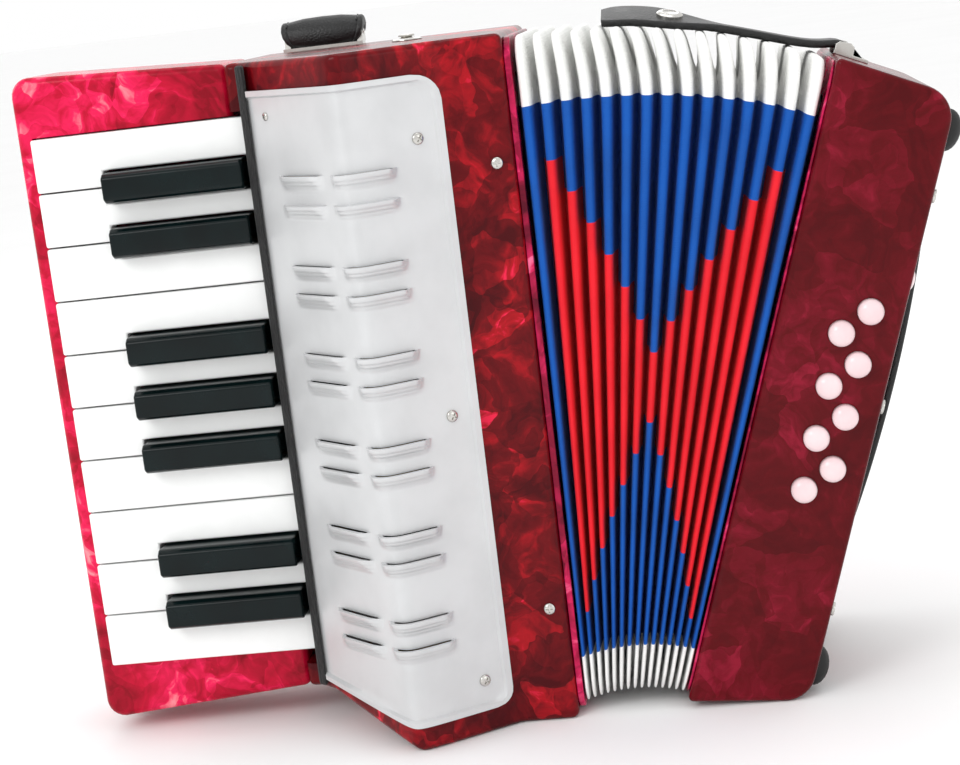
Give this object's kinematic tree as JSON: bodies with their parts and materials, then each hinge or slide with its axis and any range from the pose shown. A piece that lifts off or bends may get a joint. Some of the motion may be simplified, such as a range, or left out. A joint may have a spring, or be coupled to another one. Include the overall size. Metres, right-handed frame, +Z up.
{
  "type": "piano accordion",
  "caption": "Child-size piano accordion with keyboard, bent grille, pleated bellows that open as a fan, and bass buttons; every key, button and bellows crest moves.",
  "frame": {"origin": "on the surface that the accordion stands on, under the middle of its bounding box", "axes": "+X from the keyboard towards the bass casing, +Y from the grille side towards the player, +Z up"},
  "size_m": [0.294, 0.1333, 0.2276],
  "materials": {
    "red_pearl": "polished pearloid celluloid",
    "red_pearl_bright": "polished pearloid celluloid",
    "pink_pearl": "polished pearloid celluloid",
    "plywood": "bare birch plywood",
    "reed_wood": "bare spruce",
    "axle_steel": "drawn steel wire",
    "black_felt": "pressed felt",
    "silver_grille": "satin silver lacquer",
    "nickel": "nickel plate",
    "black_vinyl": "grained vinyl",
    "black_rubber": "moulded",
    "white_key": "polished",
    "black_key": "polished",
    "bellows_cloth": "coated cloth over card",
    "white_button": "polished"
  },
  "bodies": {
    "treble": {"treble_casing": "red_pearl", "treble_soundboard": "plywood", "keyboard_housing": "red_pearl_bright", "key_axle": "axle_steel", "key_felt_strip": "black_felt", "grille": "silver_grille", "treble_screws": "nickel", "bellows_frame_treble": "pink_pearl", "treble_reed_block": "reed_wood", "strap_hardware": "nickel", "shoulder_strap": "black_vinyl"},
    "white_key_01": {"white_key_01": "white_key"},
    "white_key_02": {"white_key_02": "white_key"},
    "white_key_03": {"white_key_03": "white_key"},
    "white_key_04": {"white_key_04": "white_key"},
    "white_key_05": {"white_key_05": "white_key"},
    "white_key_06": {"white_key_06": "white_key"},
    "white_key_07": {"white_key_07": "white_key"},
    "white_key_08": {"white_key_08": "white_key"},
    "white_key_09": {"white_key_09": "white_key"},
    "white_key_10": {"white_key_10": "white_key"},
    "black_key_01": {"black_key_01": "black_key"},
    "black_key_02": {"black_key_02": "black_key"},
    "black_key_03": {"black_key_03": "black_key"},
    "black_key_04": {"black_key_04": "black_key"},
    "black_key_05": {"black_key_05": "black_key"},
    "black_key_06": {"black_key_06": "black_key"},
    "black_key_07": {"black_key_07": "black_key"},
    "pleat_01": {"pleat_01": "bellows_cloth"},
    "pleat_02": {"pleat_02": "bellows_cloth"},
    "pleat_03": {"pleat_03": "bellows_cloth"},
    "pleat_04": {"pleat_04": "bellows_cloth"},
    "pleat_05": {"pleat_05": "bellows_cloth"},
    "pleat_06": {"pleat_06": "bellows_cloth"},
    "pleat_07": {"pleat_07": "bellows_cloth"},
    "pleat_08": {"pleat_08": "bellows_cloth"},
    "pleat_09": {"pleat_09": "bellows_cloth"},
    "pleat_10": {"pleat_10": "bellows_cloth"},
    "pleat_11": {"pleat_11": "bellows_cloth"},
    "pleat_12": {"pleat_12": "bellows_cloth"},
    "pleat_13": {"pleat_13": "bellows_cloth"},
    "pleat_14": {"pleat_14": "bellows_cloth"},
    "pleat_15": {"pleat_15": "bellows_cloth"},
    "bass": {"bass_casing": "red_pearl", "bass_end_plate": "red_pearl", "bellows_frame_bass": "pink_pearl", "bass_reed_block": "reed_wood", "hand_strap": "black_vinyl", "bass_feet": "black_rubber", "bass_hardware": "nickel"},
    "bass_button_01": {"bass_button_01": "white_button"},
    "bass_button_02": {"bass_button_02": "white_button"},
    "bass_button_03": {"bass_button_03": "white_button"},
    "bass_button_04": {"bass_button_04": "white_button"},
    "bass_button_05": {"bass_button_05": "white_button"},
    "bass_button_06": {"bass_button_06": "white_button"},
    "bass_button_07": {"bass_button_07": "white_button"},
    "bass_button_08": {"bass_button_08": "white_button"},
    "air_button": {"air_button": "white_button"},
    "bellows_strap": {"bellows_strap": "black_vinyl"}
  },
  "joints": [
    {"name": "bellows_fan", "type": "hinge", "parent": "treble", "child": "bass", "pos_m": [0.03069, -0.00415, 0.008], "axis": [0, 1, 0], "range_deg": [-18.1, 14]},
    {"name": "pleat_01_turn", "type": "hinge", "parent": "treble", "child": "pleat_01", "pos_m": [0.03069, -0.00415, 0.008], "axis": [0, 1, 0], "range_deg": [-1.14, 0.89]},
    {"name": "pleat_02_turn", "type": "hinge", "parent": "treble", "child": "pleat_02", "pos_m": [0.03069, -0.00415, 0.008], "axis": [0, 1, 0], "range_deg": [-2.27, 1.76]},
    {"name": "pleat_03_turn", "type": "hinge", "parent": "treble", "child": "pleat_03", "pos_m": [0.03069, -0.00415, 0.008], "axis": [0, 1, 0], "range_deg": [-3.4, 2.63]},
    {"name": "pleat_04_turn", "type": "hinge", "parent": "treble", "child": "pleat_04", "pos_m": [0.03069, -0.00415, 0.008], "axis": [0, 1, 0], "range_deg": [-4.54, 3.51]},
    {"name": "pleat_05_turn", "type": "hinge", "parent": "treble", "child": "pleat_05", "pos_m": [0.03069, -0.00415, 0.008], "axis": [0, 1, 0], "range_deg": [-5.67, 4.38]},
    {"name": "pleat_06_turn", "type": "hinge", "parent": "treble", "child": "pleat_06", "pos_m": [0.03069, -0.00415, 0.008], "axis": [0, 1, 0], "range_deg": [-6.8, 5.26]},
    {"name": "pleat_07_turn", "type": "hinge", "parent": "treble", "child": "pleat_07", "pos_m": [0.03069, -0.00415, 0.008], "axis": [0, 1, 0], "range_deg": [-7.93, 6.13]},
    {"name": "pleat_08_turn", "type": "hinge", "parent": "treble", "child": "pleat_08", "pos_m": [0.03069, -0.00415, 0.008], "axis": [0, 1, 0], "range_deg": [-9.06, 7.01]},
    {"name": "pleat_09_turn", "type": "hinge", "parent": "treble", "child": "pleat_09", "pos_m": [0.03069, -0.00415, 0.008], "axis": [0, 1, 0], "range_deg": [-10.19, 7.88]},
    {"name": "pleat_10_turn", "type": "hinge", "parent": "treble", "child": "pleat_10", "pos_m": [0.03069, -0.00415, 0.008], "axis": [0, 1, 0], "range_deg": [-11.32, 8.76]},
    {"name": "pleat_11_turn", "type": "hinge", "parent": "treble", "child": "pleat_11", "pos_m": [0.03069, -0.00415, 0.008], "axis": [0, 1, 0], "range_deg": [-12.45, 9.63]},
    {"name": "pleat_12_turn", "type": "hinge", "parent": "treble", "child": "pleat_12", "pos_m": [0.03069, -0.00415, 0.008], "axis": [0, 1, 0], "range_deg": [-13.59, 10.51]},
    {"name": "pleat_13_turn", "type": "hinge", "parent": "treble", "child": "pleat_13", "pos_m": [0.03069, -0.00415, 0.008], "axis": [0, 1, 0], "range_deg": [-14.72, 11.38]},
    {"name": "pleat_14_turn", "type": "hinge", "parent": "treble", "child": "pleat_14", "pos_m": [0.03069, -0.00415, 0.008], "axis": [0, 1, 0], "range_deg": [-15.85, 12.26]},
    {"name": "pleat_15_turn", "type": "hinge", "parent": "treble", "child": "pleat_15", "pos_m": [0.03069, -0.00415, 0.008], "axis": [0, 1, 0], "range_deg": [-16.98, 13.13]},
    {"name": "white_key_01_press", "type": "hinge", "parent": "treble", "child": "white_key_01", "pos_m": [-0.05351, -0.01915, 0.112], "axis": [0, 0, -1], "range_deg": [0, 2.7], "stiffness_Nm_per_rad": 0.15, "springref_deg": -28.65},
    {"name": "white_key_02_press", "type": "hinge", "parent": "treble", "child": "white_key_02", "pos_m": [-0.05351, -0.01915, 0.112], "axis": [0, 0, -1], "range_deg": [0, 2.7], "stiffness_Nm_per_rad": 0.15, "springref_deg": -28.65},
    {"name": "white_key_03_press", "type": "hinge", "parent": "treble", "child": "white_key_03", "pos_m": [-0.05351, -0.01915, 0.112], "axis": [0, 0, -1], "range_deg": [0, 2.7], "stiffness_Nm_per_rad": 0.15, "springref_deg": -28.65},
    {"name": "white_key_04_press", "type": "hinge", "parent": "treble", "child": "white_key_04", "pos_m": [-0.05351, -0.01915, 0.112], "axis": [0, 0, -1], "range_deg": [0, 2.7], "stiffness_Nm_per_rad": 0.15, "springref_deg": -28.65},
    {"name": "white_key_05_press", "type": "hinge", "parent": "treble", "child": "white_key_05", "pos_m": [-0.05351, -0.01915, 0.112], "axis": [0, 0, -1], "range_deg": [0, 2.7], "stiffness_Nm_per_rad": 0.15, "springref_deg": -28.65},
    {"name": "white_key_06_press", "type": "hinge", "parent": "treble", "child": "white_key_06", "pos_m": [-0.05351, -0.01915, 0.112], "axis": [0, 0, -1], "range_deg": [0, 2.7], "stiffness_Nm_per_rad": 0.15, "springref_deg": -28.65},
    {"name": "white_key_07_press", "type": "hinge", "parent": "treble", "child": "white_key_07", "pos_m": [-0.05351, -0.01915, 0.112], "axis": [0, 0, -1], "range_deg": [0, 2.7], "stiffness_Nm_per_rad": 0.15, "springref_deg": -28.65},
    {"name": "white_key_08_press", "type": "hinge", "parent": "treble", "child": "white_key_08", "pos_m": [-0.05351, -0.01915, 0.112], "axis": [0, 0, -1], "range_deg": [0, 2.7], "stiffness_Nm_per_rad": 0.15, "springref_deg": -28.65},
    {"name": "white_key_09_press", "type": "hinge", "parent": "treble", "child": "white_key_09", "pos_m": [-0.05351, -0.01915, 0.112], "axis": [0, 0, -1], "range_deg": [0, 2.7], "stiffness_Nm_per_rad": 0.15, "springref_deg": -28.65},
    {"name": "white_key_10_press", "type": "hinge", "parent": "treble", "child": "white_key_10", "pos_m": [-0.05351, -0.01915, 0.112], "axis": [0, 0, -1], "range_deg": [0, 2.7], "stiffness_Nm_per_rad": 0.15, "springref_deg": -28.65},
    {"name": "black_key_01_press", "type": "hinge", "parent": "treble", "child": "black_key_01", "pos_m": [-0.05351, -0.01915, 0.112], "axis": [0, 0, -1], "range_deg": [0, 2.7], "stiffness_Nm_per_rad": 0.15, "springref_deg": -28.65},
    {"name": "black_key_02_press", "type": "hinge", "parent": "treble", "child": "black_key_02", "pos_m": [-0.05351, -0.01915, 0.112], "axis": [0, 0, -1], "range_deg": [0, 2.7], "stiffness_Nm_per_rad": 0.15, "springref_deg": -28.65},
    {"name": "black_key_03_press", "type": "hinge", "parent": "treble", "child": "black_key_03", "pos_m": [-0.05351, -0.01915, 0.112], "axis": [0, 0, -1], "range_deg": [0, 2.7], "stiffness_Nm_per_rad": 0.15, "springref_deg": -28.65},
    {"name": "black_key_04_press", "type": "hinge", "parent": "treble", "child": "black_key_04", "pos_m": [-0.05351, -0.01915, 0.112], "axis": [0, 0, -1], "range_deg": [0, 2.7], "stiffness_Nm_per_rad": 0.15, "springref_deg": -28.65},
    {"name": "black_key_05_press", "type": "hinge", "parent": "treble", "child": "black_key_05", "pos_m": [-0.05351, -0.01915, 0.112], "axis": [0, 0, -1], "range_deg": [0, 2.7], "stiffness_Nm_per_rad": 0.15, "springref_deg": -28.65},
    {"name": "black_key_06_press", "type": "hinge", "parent": "treble", "child": "black_key_06", "pos_m": [-0.05351, -0.01915, 0.112], "axis": [0, 0, -1], "range_deg": [0, 2.7], "stiffness_Nm_per_rad": 0.15, "springref_deg": -28.65},
    {"name": "black_key_07_press", "type": "hinge", "parent": "treble", "child": "black_key_07", "pos_m": [-0.05351, -0.01915, 0.112], "axis": [0, 0, -1], "range_deg": [0, 2.7], "stiffness_Nm_per_rad": 0.15, "springref_deg": -28.65},
    {"name": "bass_button_01_press", "type": "slide", "parent": "bass", "child": "bass_button_01", "axis": [0, 1, 0], "range_m": [0, 0.003], "stiffness_N_per_m": 120, "springref_m": -0.01},
    {"name": "bass_button_02_press", "type": "slide", "parent": "bass", "child": "bass_button_02", "axis": [0, 1, 0], "range_m": [0, 0.003], "stiffness_N_per_m": 120, "springref_m": -0.01},
    {"name": "bass_button_03_press", "type": "slide", "parent": "bass", "child": "bass_button_03", "axis": [0, 1, 0], "range_m": [0, 0.003], "stiffness_N_per_m": 120, "springref_m": -0.01},
    {"name": "bass_button_04_press", "type": "slide", "parent": "bass", "child": "bass_button_04", "axis": [0, 1, 0], "range_m": [0, 0.003], "stiffness_N_per_m": 120, "springref_m": -0.01},
    {"name": "bass_button_05_press", "type": "slide", "parent": "bass", "child": "bass_button_05", "axis": [0, 1, 0], "range_m": [0, 0.003], "stiffness_N_per_m": 120, "springref_m": -0.01},
    {"name": "bass_button_06_press", "type": "slide", "parent": "bass", "child": "bass_button_06", "axis": [0, 1, 0], "range_m": [0, 0.003], "stiffness_N_per_m": 120, "springref_m": -0.01},
    {"name": "bass_button_07_press", "type": "slide", "parent": "bass", "child": "bass_button_07", "axis": [0, 1, 0], "range_m": [0, 0.003], "stiffness_N_per_m": 120, "springref_m": -0.01},
    {"name": "bass_button_08_press", "type": "slide", "parent": "bass", "child": "bass_button_08", "axis": [0, 1, 0], "range_m": [0, 0.003], "stiffness_N_per_m": 120, "springref_m": -0.01},
    {"name": "air_button_press", "type": "slide", "parent": "bass", "child": "air_button", "axis": [-0.9505, 0, 0.3107], "range_m": [0, 0.003], "stiffness_N_per_m": 120, "springref_m": -0.01},
    {"name": "bellows_strap_turn", "type": "hinge", "parent": "bass", "child": "bellows_strap", "pos_m": [0.11512, 0.00085, 0.19808], "axis": [0, 1, 0], "range_deg": [0, 150]}
  ],
  "couplings": [
    {"joint": "pleat_01_turn", "follows": "bellows_fan", "ratio": 0.0625},
    {"joint": "pleat_02_turn", "follows": "bellows_fan", "ratio": 0.125},
    {"joint": "pleat_03_turn", "follows": "bellows_fan", "ratio": 0.1875},
    {"joint": "pleat_04_turn", "follows": "bellows_fan", "ratio": 0.25},
    {"joint": "pleat_05_turn", "follows": "bellows_fan", "ratio": 0.3125},
    {"joint": "pleat_06_turn", "follows": "bellows_fan", "ratio": 0.375},
    {"joint": "pleat_07_turn", "follows": "bellows_fan", "ratio": 0.4375},
    {"joint": "pleat_08_turn", "follows": "bellows_fan", "ratio": 0.5},
    {"joint": "pleat_09_turn", "follows": "bellows_fan", "ratio": 0.5625},
    {"joint": "pleat_10_turn", "follows": "bellows_fan", "ratio": 0.625},
    {"joint": "pleat_11_turn", "follows": "bellows_fan", "ratio": 0.6875},
    {"joint": "pleat_12_turn", "follows": "bellows_fan", "ratio": 0.75},
    {"joint": "pleat_13_turn", "follows": "bellows_fan", "ratio": 0.8125},
    {"joint": "pleat_14_turn", "follows": "bellows_fan", "ratio": 0.875},
    {"joint": "pleat_15_turn", "follows": "bellows_fan", "ratio": 0.9375}
  ]
}
